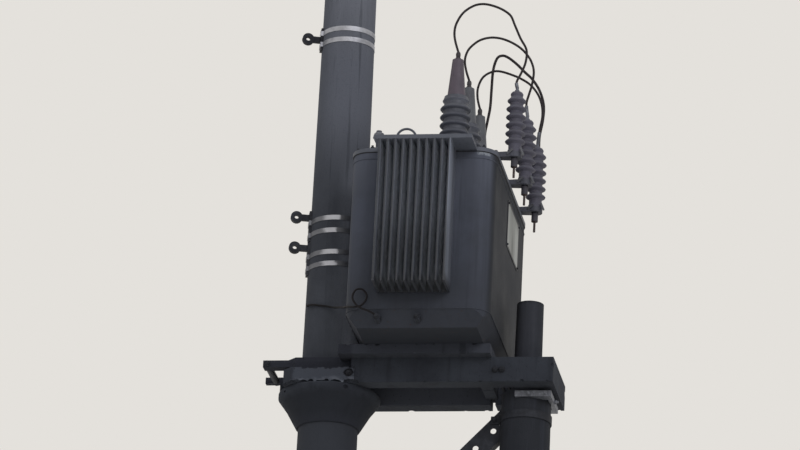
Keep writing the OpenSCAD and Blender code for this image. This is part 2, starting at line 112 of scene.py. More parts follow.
def weathered(name, base, coats, grains, rough, bumps, lumps=None, marks=None, **shader_values):
    """Outdoor material, built up in coats as weather does it; some coats paint light or shade.

    grains: noise by name, as (size of its features along X, Y and Z in mm, detail, roughness).
    lumps: distance to the nearest of scattered points by name, as their spacing in mm.
    marks: distance from one place by name, as its coordinates.
    coats: (colour, strength, limits...), each laid over the last one. A limit is (measure, from,
    to), where a measure is a grain, lump, mark, x, y, z, or how far a face looks up, right or back.
    Places are in metres. A measure like "z~stains" is z plus a little of that grain, so its edge
    is ragged.
    rough: (grain, roughness where it is low, roughness where it is high).
    bumps: (measure, from, to, strength, height in mm).
    """
    grain_low, grain_high = 0.25, 0.75
    raggedness = 0.1
    material = bpy.data.materials.new(name)
    material.use_nodes = True
    tree = material.node_tree
    shader = tree.nodes["Principled BSDF"]
    place = add(tree, "ShaderNodeTexCoord").outputs["Object"]
    normal = add(tree, "ShaderNodeNewGeometry").outputs["Normal"]
    axes = add(tree, "ShaderNodeSeparateXYZ", {0: place}).outputs
    facing = add(tree, "ShaderNodeSeparateXYZ", {0: normal}).outputs
    measure = {"x": axes[0], "y": axes[1], "z": axes[2]}
    measure |= {"right": facing[0], "back": facing[1], "up": facing[2]}
    for label, (sizes, detail, roughness) in grains.items():
        per_metre = [1000 / size for size in sizes]
        spread = add(tree, "ShaderNodeMapping", {"Vector": place, "Scale": per_metre}).outputs[0]
        pattern = {"Vector": spread, "Scale": 1.0, "Detail": detail, "Roughness": roughness}
        measure[label] = add(tree, "ShaderNodeTexNoise", pattern).outputs[0]
    for label, spacing in (lumps or {}).items():
        scattered = {"Vector": place, "Scale": 1000 / spacing}
        measure[label] = add(tree, "ShaderNodeTexVoronoi", scattered).outputs[0]
    for label, spot in (marks or {}).items():
        away = add(tree, "ShaderNodeVectorMath", {0: place, 1: spot}, operation="DISTANCE")
        measure[label] = away.outputs["Value"]

    def masked(label, start, end):
        """Eased step of a measure from 0 at start to 1 at end."""
        axis, _, pattern = label.partition("~")
        value = measure[axis]
        if pattern:
            ragged = {0: measure[pattern], 1: raggedness, 2: value}
            value = add(tree, "ShaderNodeMath", ragged, operation="MULTIPLY_ADD").outputs[0]
        ends = {0: value, 1: start, 2: end}
        return add(tree, "ShaderNodeMapRange", ends, interpolation_type="SMOOTHSTEP").outputs[0]

    colour = linear(base)
    for coat, strength, *limits in coats:
        factor = strength
        for limit in limits:
            both = {0: masked(*limit), 1: factor}
            factor = add(tree, "ShaderNodeMath", both, operation="MULTIPLY").outputs[0]
        layers = {0: factor, 6: colour, 7: linear(coat)}
        colour = add(tree, "ShaderNodeMix", layers, data_type="RGBA").outputs[2]
    tree.links.new(colour, shader.inputs["Base Color"])
    ends = {0: measure[rough[0]], 1: grain_low, 2: grain_high, 3: rough[1], 4: rough[2]}
    tree.links.new(add(tree, "ShaderNodeMapRange", ends).outputs[0], shader.inputs["Roughness"])
    surface = None
    for label, start, end, strength, height in bumps:
        relief = {"Strength": strength, "Distance": height / 1000}
        relief["Height"] = masked(label, start, end)
        if surface:
            relief["Normal"] = surface
        surface = add(tree, "ShaderNodeBump", relief).outputs[0]
    tree.links.new(surface, shader.inputs["Normal"])
    for socket, value in shader_values.items():
        shader.inputs[socket.replace("_", " ")].default_value = value
    return material


def finish_node(name, material):
    """Gives a CAD node its material."""
    node_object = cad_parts[name]
    node_object.data.materials.clear()
    node_object.data.materials.append(material)


# Spun concrete: matt and cool grey, with rain streaks 60 mm wide and blotches of half a metre.
# The sand in the skin, under 1 mm, is drawn 6 mm wide so that it shows.
pole_grains = {
    "streaks": ((60, 60, 1400), 5, 0.6),
    "blotches": ((450, 450, 450), 6, 0.62),
    "sand": ((6, 6, 6), 3, 0.6),
    "dribbles": ((30, 30, 700), 4, 0.6),
}
pole_bumps = [("sand", 0.3, 0.7, 0.35, 1.2), ("streaks", 0.2, 0.8, 0.4, 4)]
# The pole is darker from the tank's top downwards, and mud has splashed its foot. Beside the tank,
# its right side is painted paler, as painted light against the shade that the tank casts on it.
below_tank_top = ("z~blotches", 6.6, 6.05)
splashed_foot = ("z~blotches", 0.5, 0.1)
painted_light_beside_tank = [("z", 6.3, 6.1), ("z", 5.1, 5.16)]
spun_concrete = weathered(
    "spun_concrete",
    "#6b6c70",
    [
        ("#838488", 1.0, ("streaks", 0.32, 0.7)),
        ("#7b7c82", 0.9, ("blotches", 0.35, 0.72)),
        ("#62646b", 0.85, ("z~blotches", 7.5, 6.7)),
        # Painted shade: the side that looks left is darker.
        ("#595b60", 0.5, ("right", -0.2, -0.95)),
        # Darker from the tank's top downwards, broken by blotches.
        ("#3d3f44", 1.0, below_tank_top),
        ("#4f5156", 0.9, below_tank_top, ("blotches", 0.3, 0.7)),
        # Painted light: the right side beside the tank is paler, against the tank's shade.
        ("#74767c", 1.0, ("right", -0.05, 0.95), *painted_light_beside_tank),
        ("#b4b6bc", 1.0, ("right", 0.4, 0.95), *painted_light_beside_tank, ("z", 5.45, 5.2)),
        # Painted shade below the platform.
        ("#35373c", 0.75, ("z~blotches", 5.15, 4.85)),
        ("#313439", 0.5, ("dribbles", 0.56, 0.72)),
        ("#36383d", 0.35, ("sand", 0.56, 0.7)),
        ("#2f2c28", 0.8, splashed_foot),
    ],
    pole_grains,
    ("blotches", 0.82, 0.96),
    pole_bumps,
    Specular_IOR_Level=0.25,
)
finish_node("main_pole", spun_concrete)
# The same concrete on the short pole, blackened by soot, with a darker rim at its top. It is
# painted darker below the platform and on its right side, as shade.
below_platform = ("z", 5.02, 4.98)
sooty_concrete = weathered(
    "sooty_spun_concrete",
    "#36373c",
    [
        ("#424348", 1.0, ("streaks", 0.35, 0.7)),
        ("#2a2c32", 0.8, ("blotches", 0.4, 0.7)),
        # Painted shade below the platform.
        ("#27292d", 0.7, below_platform),
        ("#383a42", 0.6, below_platform, ("dribbles", 0.5, 0.66)),
        # Painted shade on the right side.
        ("#24262a", 0.4, ("right", 0.2, 0.9)),
        ("#23252a", 0.6, ("z", 5.465, 5.483)),
        ("#322e2a", 0.8, splashed_foot),
    ],
    pole_grains,
    ("blotches", 0.82, 0.96),
    pole_bumps,
    Specular_IOR_Level=0.25,
)
finish_node("short_pole", sooty_concrete)


# Platform
# Two ribbed half slabs of cast concrete clasp the main pole and rest on a collar round it and on
# the short pole's shoulder. Edges have chipped off, and the block's lower step is pale in front,
# partly as painted light on its face, with painted highlights along its ragged lower edge.
slab_low, slab_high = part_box("front_half_slab")
underside, deck_top, deck_front, slab_end = slab_low.z, slab_high.z, slab_low.y, slab_high.x
deck_bottom = deck_top - 0.05
deck_left, deck_right = 0.084, 0.85
rib_front, rib_inner = -0.23, 0.135
block_front, block_side, block_back_corner = -0.235, -0.256, -0.14
block_left, block_right = -0.161, 0.162
step_top = underside + 0.08
# A bolt bites the main pole through a hollow, where the block's front has broken away.
bolt_x, bolt_z = 0.133, underside + 0.05

# Cast concrete: rough, dull and nearly black, with small voids where air stuck to the mould 22 mm
# apart, which are painted darker as shade. Its sand is drawn 4 mm wide so that it shows.
pale_step = [
    ("x~chaff", -0.11, -0.085),
    ("x~chaff", 0.215, 0.19),
    ("y", block_front + 0.006, block_front + 0.001),
    ("z", underside - 0.004, underside + 0.002),
]
rib_shade = [("back", -0.5, -0.9), ("y", rib_inner - 0.03, rib_inner - 0.01), ("y", 0.15, 0.14)]
cast_concrete = weathered(
    "cast_concrete",
    "#2e3036",
    [
        ("#3e4147", 1.0, ("stains", 0.3, 0.72)),
        ("#484a51", 0.8, ("z", deck_bottom - 0.001, deck_bottom + 0.002)),
        ("#232529", 0.5, ("dribbles", 0.5, 0.75)),
        # Painted shade under the platform: darker just below the slabs' underside, easing off lower
        # down.
        ("#26282d", 0.75, ("z~stains", 5.03, 4.99)),
        ("#35373e", 0.7, ("z~stains", 4.94, 4.86)),
        # Painted shade: the block is darker above its step, where it is set back.
        ("#313239", 0.8, ("x", 0.17, 0.13), ("z", step_top + 0.002, step_top + 0.008)),
        ("#5d5f66", 0.9, *rib_shade),
        # Partly painted light: the lower step's front is pale, and painted highlights fleck its lower
        # edge.
        ("#4b4e55", 0.9, *pale_step, ("z", step_top + 0.004, step_top - 0.004)),
        ("#70737a", 0.7, *pale_step, ("z~chaff", 5.082, 5.045)),
        ("#9a9da4", 0.8, *pale_step, ("z~chaff", 5.07, 5.05), ("chaff", 0.5, 0.62)),
        # Painted shade in the bolt's hollow.
        ("#232428", 0.9, ("hollow", 0.026, 0.018)),
        # Painted shade in the voids.
        ("#202327", 0.6, ("voids", 0.16, 0.05)),
    ],
    {
        "stains": ((280, 280, 280), 7, 0.62),
        "dribbles": ((45, 45, 500), 4, 0.55),
        "chaff": ((38, 38, 30), 5, 0.6),
        "sand": ((4, 4, 4), 3, 0.65),
    },
    ("stains", 0.88, 0.96),
    [("sand", 0.3, 0.7, 0.5, 1.5), ("voids", 0.05, 0.16, 0.7, 3)],
    lumps={"voids": 22},
    marks={"hollow": (bolt_x - 0.001, block_front, bolt_z)},
    Specular_IOR_Level=0.25,
)


def new_piece(name, points, faces, material, edges=()):
    """Mesh object with its place in its mesh."""
    mesh = bpy.data.meshes.new(name)
    mesh.from_pydata([tuple(p) for p in points], edges, faces)
    mesh.update()
    mesh.materials.append(material)
    piece = bpy.data.objects.new(name, mesh)
    bpy.context.scene.collection.objects.link(piece)
    return piece


def made_final(piece):
    """Turns a piece with live modifiers into a plain mesh, and fixes it to the one body."""
    depsgraph = bpy.context.evaluated_depsgraph_get()
    mesh = bpy.data.meshes.new_from_object(piece.evaluated_get(depsgraph))
    piece.modifiers.clear()
    piece.data = mesh
    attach(piece, "root")
    return piece


def broken_stone(lines, seed):
    """Rough lumps of stone along lines: (start, end, count, smallest, largest)."""
    bump_depth, bump_scale, variety = 0.35, 1.7, 9
    rng = random.Random(seed)
    lumps = bmesh.new()
    for start, end, count, smallest, largest in lines:
        for _ in range(count):
            spot = Vector(start).lerp(Vector(end), rng.random())
            size = rng.uniform(smallest, largest)
            made = bmesh.ops.create_icosphere(lumps, subdivisions=2, radius=1)["verts"]
            flatness = Vector((rng.uniform(0.8, 1.8), rng.uniform(0.8, 1.4), rng.uniform(0.6, 1.1)))
            spin = Matrix.Rotation(rng.uniform(0, math.tau), 3, "Z")
            for vertex in made:
                bump = bump_depth * noise.noise(vertex.co * bump_scale + spot * variety)
                vertex.co = spot + (spin @ (vertex.co * (1 + bump) * flatness)) * size
    mesh = bpy.data.meshes.new("broken_stone")
    lumps.to_mesh(mesh)
    lumps.free()
    return mesh


def chipped_cast(node_name, lines, seed):
    """Copy of a cast node with softened edges and chips broken out along lines."""
    source = bmesh.new()
    source.from_mesh(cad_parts[node_name].data)
    bmesh.ops.remove_doubles(source, verts=source.verts, dist=0.00002)
    bmesh.ops.dissolve_limit(
        source, angle_limit=math.radians(0.5), verts=source.verts, edges=source.edges
    )
    piece = new_piece(node_name + "_cast", [], [], cast_concrete)
    source.to_mesh(piece.data)
    source.free()
    stone = bpy.data.objects.new("broken_stone", broken_stone(lines, seed))
    stone.data.materials.append(cast_concrete)
    bpy.context.scene.collection.objects.link(stone)
    edge = piece.modifiers.new("edge", "BEVEL")
    edge.width = 0.004
    edge.segments = 2
    edge.limit_method = "ANGLE"
    edge.angle_limit = math.radians(40)
    broken = piece.modifiers.new("broken", "BOOLEAN")
    broken.operation = "DIFFERENCE"
    broken.solver = "EXACT"
    broken.use_self = True
    broken.object = stone
    made_final(piece)
    piece.data.materials.clear()
    piece.data.materials.append(cast_concrete)
    bpy.data.objects.remove(stone)
    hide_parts(node_name)


# Edges that have chipped: where each one runs, and the number and the sizes of its chips. The
# fourth one is the bolt's hollow.
chip_y, hollow_y = block_front - 0.001, block_front - 0.003
block_corner, block_side_corner = (block_left, block_front), (block_side, block_back_corner)
front_chips = [
    ((-0.16, chip_y, underside), (block_right, chip_y, underside), 34, 0.008, 0.019),
    ((*block_side_corner, underside), (*block_corner, underside), 6, 0.006, 0.014),
    ((*block_corner, step_top), (block_right, block_front, step_top), 14, 0.006, 0.013),
    ((bolt_x - 0.003, hollow_y, bolt_z), (bolt_x + 0.002, hollow_y, bolt_z), 2, 0.014, 0.018),
    ((block_right, rib_front, underside), (slab_end, rib_front, underside), 9, 0.005, 0.012),
    ((deck_left, deck_front, deck_bottom), (deck_right, deck_front, deck_bottom), 9, 0.004, 0.011),
    ((deck_left, deck_front, deck_top), (deck_right, deck_front, deck_top), 8, 0.004, 0.01),
    ((slab_end, rib_front, underside), (slab_end, rib_front, deck_bottom), 3, 0.008, 0.016),
]
rear_chips = [
    ((start[0], -start[1], start[2]), (end[0], -end[1], end[2]), count // 2 + 1, small, large)
    for start, end, count, small, large in front_chips
]
collar_rim, chip_arc = 0.256, 0.12


def on_rim(angle, depth):
    """Place on the collar's rim at an angle, and how far it is below the slab's underside."""
    return (collar_rim * math.cos(angle), collar_rim * math.sin(angle), underside - depth)


collar_chips = [
    (on_rim(angle, 0.02), on_rim(angle + chip_arc, 0.025), 2, 0.004, 0.011)
    for angle in (-2.5, -1.1, 0.3, 1.4, 2.6)
]
chipped_cast("front_half_slab", front_chips, 11)
chipped_cast("rear_half_slab", rear_chips, 12)
chipped_cast("support_collar", collar_chips, 13)


# Tie rods, clamps and brace
# Threaded rods squeeze the half slabs together, a flat clamp grips the short pole under them, and
# a punched angle runs down to the main pole. All are galvanised steel, bolted with hexagon nuts.
def centre(node_name):
    """Middle of a CAD node's box."""
    low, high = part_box(node_name)
    return (low + high) / 2


# Galvanised steel: cold grey crystals, drawn 12 mm wide, under a film of soot with rusty specks.
metal_grains = {"dirt": ((110, 110, 110), 6, 0.6), "specks": ((20, 20, 20), 5, 0.65)}
metal_bumps = [("specks", 0.5, 0.75, 0.3, 0.8)]
sooty_zinc = weathered(
    "sooty_galvanised_steel",
    "#34363c",
    [
        ("#2c2e34", 1.0, ("crystals", 0.2, 0.6)),
        ("#232429", 0.9, ("dirt", 0.42, 0.6)),
        ("#33282a", 0.6, ("specks", 0.64, 0.74)),
    ],
    metal_grains,
    ("dirt", 0.5, 0.8),
    metal_bumps,
    lumps={"crystals": 12},
    Metallic=0.15,
    Specular_IOR_Level=0.3,
)
# The same zinc where rain washes it: paler, shinier and more like metal.
clean_zinc = weathered(
    "rain_washed_galvanised_steel",
    "#7f8187",
    [
        ("#6a6c72", 1.0, ("crystals", 0.2, 0.6)),
        ("#4a4b51", 0.8, ("dirt", 0.5, 0.66)),
        ("#4c3a32", 0.6, ("specks", 0.68, 0.74)),
    ],
    metal_grains,
    ("dirt", 0.4, 0.65),
    metal_bumps,
    lumps={"crystals": 12},
    Metallic=0.45,
)
tie_rods = ("tie_rod_left", "tie_rod_inner", "tie_rod_outer")
for name in (*tie_rods, "diagonal_brace", "brace_clamp_upper", "brace_clamp_lower"):
    finish_node(name, sooty_zinc)
finish_node("short_pole_clamp", clean_zinc)

# One tree draws every hexagon fastener from its thread's diameter, in the standard proportions:
# washer, head or nut with a bevelled crown, and the thread's end standing out of it.
hex_tree = bpy.data.node_groups.new("hexagon_fasteners", "GeometryNodeTree")
for socket, kind in (
    ("Seats", "Geometry"),
    ("Thread Width", "Float"),
    ("Thread Reach", "Float"),
    ("Finish", "Material"),
):
    hex_tree.interface.new_socket(socket, in_out="INPUT", socket_type="NodeSocket" + kind)
hex_tree.interface.new_socket("Fasteners", in_out="OUTPUT", socket_type="NodeSocketGeometry")
given = add(hex_tree, "NodeGroupInput").outputs
washer_thick, head_height, crown_height = 0.17, 0.68, 0.12
turned_parts = [
    # sides, lower and upper radius, height and lower end, as shares of the thread's diameter
    (24, 1.06, 1.06, washer_thick, 0.0),
    (6, 0.9, 0.9, head_height, washer_thick),
    (6, 0.9, 0.76, crown_height, washer_thick + head_height),
    (14, 0.5, 0.5, None, washer_thick + head_height + crown_height),
]
fastener = add(hex_tree, "GeometryNodeJoinGeometry")
for sides, *shares in turned_parts:
    lower, upper, height, start = [
        given["Thread Reach"] if share is None else add(
            hex_tree, "ShaderNodeMath", {0: given["Thread Width"], 1: share}, operation="MULTIPLY"
        ).outputs[0]
        for share in shares
    ]
    cone = {"Vertices": sides, "Radius Bottom": lower, "Radius Top": upper, "Depth": height}
    made = add(hex_tree, "GeometryNodeMeshCone", cone).outputs["Mesh"]
    lift = add(hex_tree, "ShaderNodeCombineXYZ", {"Z": start}).outputs[0]
    lifted = {"Geometry": made, "Translation": lift}
    moved = add(hex_tree, "GeometryNodeTransform", lifted).outputs[0]
    hex_tree.links.new(moved, fastener.inputs[0])
arrows = {"Name": "outward"}
outward = add(hex_tree, "GeometryNodeInputNamedAttribute", arrows, data_type="FLOAT_VECTOR")
aiming = {"Vector": outward.outputs[0]}
aligned = add(hex_tree, "FunctionNodeAlignRotationToVector", aiming, axis="Z").outputs[0]
placing = {"Points": given["Seats"], "Instance": fastener.outputs[0], "Rotation": aligned}
seated = add(hex_tree, "GeometryNodeInstanceOnPoints", placing).outputs[0]
real = add(hex_tree, "GeometryNodeRealizeInstances", {"Geometry": seated}).outputs[0]
coating = {"Geometry": real, "Material": given["Finish"]}
coated = add(hex_tree, "GeometryNodeSetMaterial", coating).outputs[0]
add(hex_tree, "NodeGroupOutput", {"Fasteners": coated})


def grown(piece, tree, values):
    """Runs a Geometry Nodes tree on a piece and keeps the result as its mesh."""
    modifier = piece.modifiers.new(tree.name, "NODES")
    modifier.node_group = tree
    for socket in tree.interface.items_tree:
        if socket.in_out == "INPUT" and socket.name in values:
            modifier[socket.identifier] = values[socket.name]
    return made_final(piece)


def fasteners(name, seats, thread_width, thread_reach, material):
    """Hexagon nuts or bolts at seats, each a place and the direction that it faces."""
    piece = new_piece(name, [place for place, _ in seats], [], material)
    arrows = piece.data.attributes.new("outward", "FLOAT_VECTOR", "POINT")
    arrows.data.foreach_set("vector", [part for _, arrow in seats for part in arrow])
    values = {"Thread Width": thread_width, "Thread Reach": thread_reach, "Finish": material}
    return grown(piece, hex_tree, values)


front, back, right, up, down = (0, -1, 0), (0, 1, 0), (1, 0, 0), (0, 0, 1), (0, 0, -1)
m6, m8, m12, m14, m16 = 0.006, 0.008, 0.012, 0.014, 0.016
# Nuts on a CAD rod of 16 mm are a little wider, so that their own thread covers it.
rod_thread = m16 + 0.0005
rod_past_nut_seat = 0.022
rod_nuts = []
for name in tie_rods:
    low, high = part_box(name)
    middle = centre(name)
    rod_nuts.append(((middle.x, low.y + rod_past_nut_seat, middle.z), front))
    rod_nuts.append(((middle.x, high.y - rod_past_nut_seat, middle.z), back))
fasteners("tie_rod_nuts", rod_nuts, rod_thread, 0.006, sooty_zinc)
# Each brace clamp ends in a lug with one bolt.
lug_front = -0.012
upper_bolt_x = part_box("brace_clamp_upper")[0].x + 0.02
lower_bolt_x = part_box("brace_clamp_lower")[1].x - 0.026
brace_bolts = [
    ((upper_bolt_x, lug_front, centre("brace_clamp_upper").z), front),
    ((lower_bolt_x, lug_front, centre("brace_clamp_lower").z), front),
]
fasteners("brace_bolts", brace_bolts, m14, 0.01, sooty_zinc)
clamp_low, clamp_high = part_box("short_pole_clamp")
clamp_z = centre("short_pole_clamp").z
clamp_bolts = [((clamp_high.x, 0.0, clamp_z), right)]
for flank_bolt_x in (1.03, 1.115):
    clamp_bolts.append(((flank_bolt_x, clamp_low.y, clamp_z), front))
    clamp_bolts.append(((flank_bolt_x, clamp_high.y, clamp_z), back))
fasteners("short_pole_clamp_bolts", clamp_bolts, m12, 0.008, clean_zinc)
fasteners("block_bolt", [((bolt_x, block_front + 0.009, bolt_z), front)], m16, 0.01, sooty_zinc)


# Tank and fins
# Welded sheet steel with a bank of hollow cooling fins front and rear, sprayed grey and baked.
# The walls' lower edges slope in above the deck, and four bosses there take earth bolts.
tank_low, tank_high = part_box("tank")
tank_x = centre("tank").x
tank_top = tank_high.z
bank_low, bank_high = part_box("front_fin_bank")
tank_half_x, tank_half_y, tank_corner = (tank_high.x - tank_low.x) / 2, -bank_high.y, 0.1
foot_edge, frame_edge = deck_top + 0.079, tank_top - 0.036

# Baked enamel: a hard skin with orange peel under 1 mm, drawn 2.6 mm wide. Here it is dull with
# soot in clouds and dribbles, darker towards the bottom, and rusty in flecks near the foot. It is
# paler towards the top, partly chalky and partly as painted light; painted shade darkens its
# downward faces, sloped foot and right wall, and a painted highlight sits at one upper corner.
enamel_grains = {
    "clouds": ((220, 220, 220), 6, 0.6),
    "dribbles": ((33, 33, 770), 5, 0.6),
    "peel": ((2.6, 2.6, 2.6), 2, 0.5),
    "flecks": ((16, 16, 16), 6, 0.7),
}
enamel_bumps = [("peel", 0.3, 0.7, 0.12, 0.6), ("flecks", 0.6, 0.72, 0.2, 0.6)]
tank_enamel = weathered(
    "grey_enamel_on_tank",
    "#43464e",
    [
        ("#51545e", 1.0, ("clouds", 0.3, 0.72)),
        # Partly painted light: paler towards the top, against the shade under the cover.
        ("#5f626c", 0.7, ("z", 5.75, 6.09)),
        ("#2f3237", 0.4, ("dribbles", 0.48, 0.74)),
        ("#323439", 0.6, ("z", 5.75, 5.3)),
        # Painted shade: darker on the slope below the foot edge and on downward faces.
        ("#2a2d33", 0.2, ("z", foot_edge + 0.005, foot_edge - 0.007)),
        ("#2a2d33", 0.8, ("up", -0.8, -0.95)),
        # Painted shade: the right wall is darker.
        ("#1f2126", 0.9, ("right", 0.7, 0.98)),
        # Painted highlight: a pale spot, broken by flecks, at the front right upper corner.
        ("#9a9ea2", 0.8, ("corner", 0.04, 0.028), ("z", 6.066, 6.072), ("flecks", 0.35, 0.5)),
        ("#412f27", 0.9, ("flecks", 0.6, 0.68), ("z", 5.3, 5.18)),
        ("#6f6e6b", 0.6, ("up", 0.45, 0.95)),
    ],
    enamel_grains,
    ("clouds", 0.65, 0.85),
    enamel_bumps,
    marks={"corner": (0.822, -0.58, tank_top - 0.011)},
    Specular_IOR_Level=0.25,
)
finish_node("tank", tank_enamel)
# The same enamel on the fins is painted near white deep between them, and paler on the bank's outer
# right face, as painted light; that face is darker near the wall, and the fins are darker on their
# front edges and low down. Painted shade darkens their lower ends and their downward faces.
front_tips, rear_tips = ("y", -0.69, -0.765), ("y", 0.69, 0.765)
front_edges = ("back", -0.4, -0.8)
left_side = ("x", bank_low.x + 0.0008, bank_low.x + 0.0002)
right_side = ("x", bank_high.x - 0.007, bank_high.x - 0.001)
lower_half = ("z", 5.78, 5.5)
fin_enamel = weathered(
    "grey_enamel_on_fins",
    # Painted light: near white, for the shaded gaps deep between the fins.
    "#eceff4",
    [
        ("#d6dae1", 1.0, ("clouds", 0.3, 0.72)),
        ("#6c6f77", 0.92, front_tips),
        ("#6c6f77", 0.92, rear_tips),
        ("#5a5d66", 1.0, left_side),
        ("#34373d", 1.0, front_edges),
        # Painted light on the bank's outer right face.
        ("#80848e", 1.0, right_side),
        ("#585b63", 0.9, right_side, ("y", -0.715, -0.66)),
        ("#42464d", 0.3, ("dribbles", 0.5, 0.74)),
        ("#54585f", 0.7, lower_half, front_tips),
        ("#54585f", 0.7, lower_half, rear_tips),
        ("#4a4e55", 0.3, ("z", 5.78, 5.45)),
        ("#2c2f34", 1.0, front_edges, ("z", 5.85, 5.5)),
        # Painted shade at the fins' lower ends and on their downward faces.
        ("#292b30", 0.85, ("z", 5.4, 5.35)),
        ("#34363c", 1.0, ("up", -0.5, -0.9)),
        ("#4a362d", 0.8, ("flecks", 0.62, 0.7), ("z", 5.42, 5.34)),
    ],
    enamel_grains,
    ("clouds", 0.42, 0.66),
    enamel_bumps,
)
finish_node("front_fin_bank", fin_enamel)
finish_node("rear_fin_bank", fin_enamel)

# One tree draws every wire, weld bead, gasket and lead: a round section swept along the edges.
sweep_tree = bpy.data.node_groups.new("swept_round", "GeometryNodeTree")
for socket, kind in (
    ("Route", "Geometry"),
    ("Radius", "Float"),
    ("Sides", "Int"),
    ("Finish", "Material"),
):
    sweep_tree.interface.new_socket(socket, in_out="INPUT", socket_type="NodeSocket" + kind)
sweep_tree.interface.new_socket("Swept", in_out="OUTPUT", socket_type="NodeSocketGeometry")
given = add(sweep_tree, "NodeGroupInput").outputs
route = add(sweep_tree, "GeometryNodeMeshToCurve", {"Mesh": given["Route"]}).outputs[0]
rounding = {"Resolution": given["Sides"], "Radius": given["Radius"]}
section = add(sweep_tree, "GeometryNodeCurvePrimitiveCircle", rounding).outputs[0]
sweeping = {"Curve": route, "Profile Curve": section, "Fill Caps": True}
swept = add(sweep_tree, "GeometryNodeCurveToMesh", sweeping).outputs[0]
real = add(sweep_tree, "GeometryNodeRealizeInstances", {"Geometry": swept}).outputs[0]
coating = {"Geometry": real, "Material": given["Finish"]}
coated = add(sweep_tree, "GeometryNodeSetMaterial", coating).outputs[0]
add(sweep_tree, "NodeGroupOutput", {"Swept": coated})


def swept_round(name, path, radius, sides, material, closed=False):
    """Round bar, bead or lead along a path, with its ends closed."""
    edges = [(i, i + 1) for i in range(len(path) - 1)]
    if closed:
        edges.append((len(path) - 1, 0))
    piece = new_piece(name, path, [], material, edges)
    grown(piece, sweep_tree, {"Radius": radius, "Sides": sides, "Finish": material})
    for face in piece.data.polygons:
        face.use_smooth = len(face.vertices) == 4
    return piece


def tank_outline(inset, height, steps=10):
    """Points of the tank's rounded outline at a height, moved in by inset."""
    loop = []
    radius = tank_corner - inset
    for start, side_x, side_y in ((0, 1, 1), (90, -1, 1), (180, -1, -1), (270, 1, -1)):
        for k in range(steps + 1):
            a = math.radians(start + 90 * k / steps)
            x = tank_x + side_x * (tank_half_x - tank_corner) + radius * math.cos(a)
            y = side_y * (tank_half_y - tank_corner) + radius * math.sin(a)
            loop.append(Vector((x, y, height)))
    return loop


bead = 0.003
for name, height in (("foot_weld", foot_edge), ("top_frame_weld", frame_edge)):
    seam = tank_outline(0, height)
    swept_round(name, seam, bead, 8, tank_enamel, closed=True)
# A weld bead closes the folded sheet at each fin's lower end.
fin_thick, fin_count = 0.012, 10
fin_pitch = (bank_high.x - bank_low.x - fin_thick) / (fin_count - 1)
wall_end, tip_end, fin_foot = tank_half_y + 0.014, -bank_low.y - 0.003, bank_low.z + 0.0005
for side, name in ((-1, "front"), (1, "rear")):
    for number in range(fin_count):
        x = bank_low.x + fin_thick / 2 + number * fin_pitch
        ends = [Vector((x, side * y, fin_foot)) for y in (wall_end, tip_end)]
        swept_round(f"{name}_fin_weld_{number + 1}", ends, bead, 6, fin_enamel)
boss_face, boss_z = -tank_low.y, deck_top + 0.034
left_boss, right_boss = 0.324, 0.524
boss_bolts = [
    ((left_boss, boss_face, boss_z), back),
    ((right_boss, -boss_face, boss_z), front),
    ((right_boss, boss_face, boss_z), back),
]
fasteners("earth_pad_bolts", boss_bolts, m14, 0.006, sooty_zinc)

# Cover
# A thick steel plate that lies on a rubber gasket and is screwed down near its edge. It reaches
# out over the fins. Its rim is a little paler than the tank below it.
cover_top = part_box("hv_bushing_front")[0].z
# The same enamel on the cover: dusty on top, where rain leaves its dirt, and painted paler below
# where it reaches out in front, as painted light on its underside.
painted_light_under_overhang = [("up", -0.5, -0.9), ("y", -0.6, -0.62)]
cover_enamel = weathered(
    "grey_enamel_on_cover",
    "#4a4d55",
    [
        ("#5c5f68", 1.0, ("clouds", 0.3, 0.72)),
        ("#2a2c31", 0.5, ("dribbles", 0.5, 0.74)),
        ("#565961", 0.6, ("back", -0.5, -0.9)),
        # Painted light under the front overhang.
        ("#8a8d96", 0.3, *painted_light_under_overhang),
        ("#8a8d96", 0.7, *painted_light_under_overhang, ("x", 0.69, 0.68)),
        ("#412f27", 0.7, ("flecks", 0.62, 0.7)),
        ("#6f6e6b", 0.7, ("up", 0.45, 0.95)),
    ],
    enamel_grains,
    ("clouds", 0.42, 0.66),
    enamel_bumps,
)
finish_node("tank_cover", cover_enamel)
# Nitrile rubber: black and matt, chalky with age in patches 25 mm wide.
gasket_rubber = weathered(
    "nitrile_gasket",
    "#1d1d20",
    [("#2c2c2f", 1.0, ("chalk", 0.4, 0.6))],
    {"chalk": ((25, 25, 25), 3, 0.6)},
    ("chalk", 0.75, 0.85),
    [("chalk", 0.3, 0.7, 0.2, 0.5)],
)
gasket_radius = 0.0035
squeezed = tank_outline(0, tank_top - 0.001)
swept_round(
    "cover_gasket", squeezed, gasket_radius, 8, gasket_rubber, closed=True
)
phases = {name: centre("hv_bushing_" + name).y for name in ("front", "middle", "rear")}
screw_count, screw_inset = 38, 0.014
rim = tank_outline(screw_inset, cover_top, 6)
screw_gap = sum((rim[i] - rim[i - 1]).length for i in range(len(rim))) / screw_count
screws = []
travelled = 0.0
for i in range(len(rim)):
    start, end = rim[i - 1], rim[i]
    length = (end - start).length
    while length > 0 and len(screws) * screw_gap < travelled + length:
        screws.append(start.lerp(end, (len(screws) * screw_gap - travelled) / length))
    travelled += length
# Where an arrester's arm lies over the rim, its own bolt takes a screw's place.
arm_start, arm_room = 0.8, 0.04
cover_screws = [
    (screw.to_tuple(), up)
    for screw in screws
    if screw.x < arm_start or min(abs(screw.y - y) for y in phases.values()) > arm_room
]
fasteners("cover_screws", cover_screws, m12, 0.008, sooty_zinc)

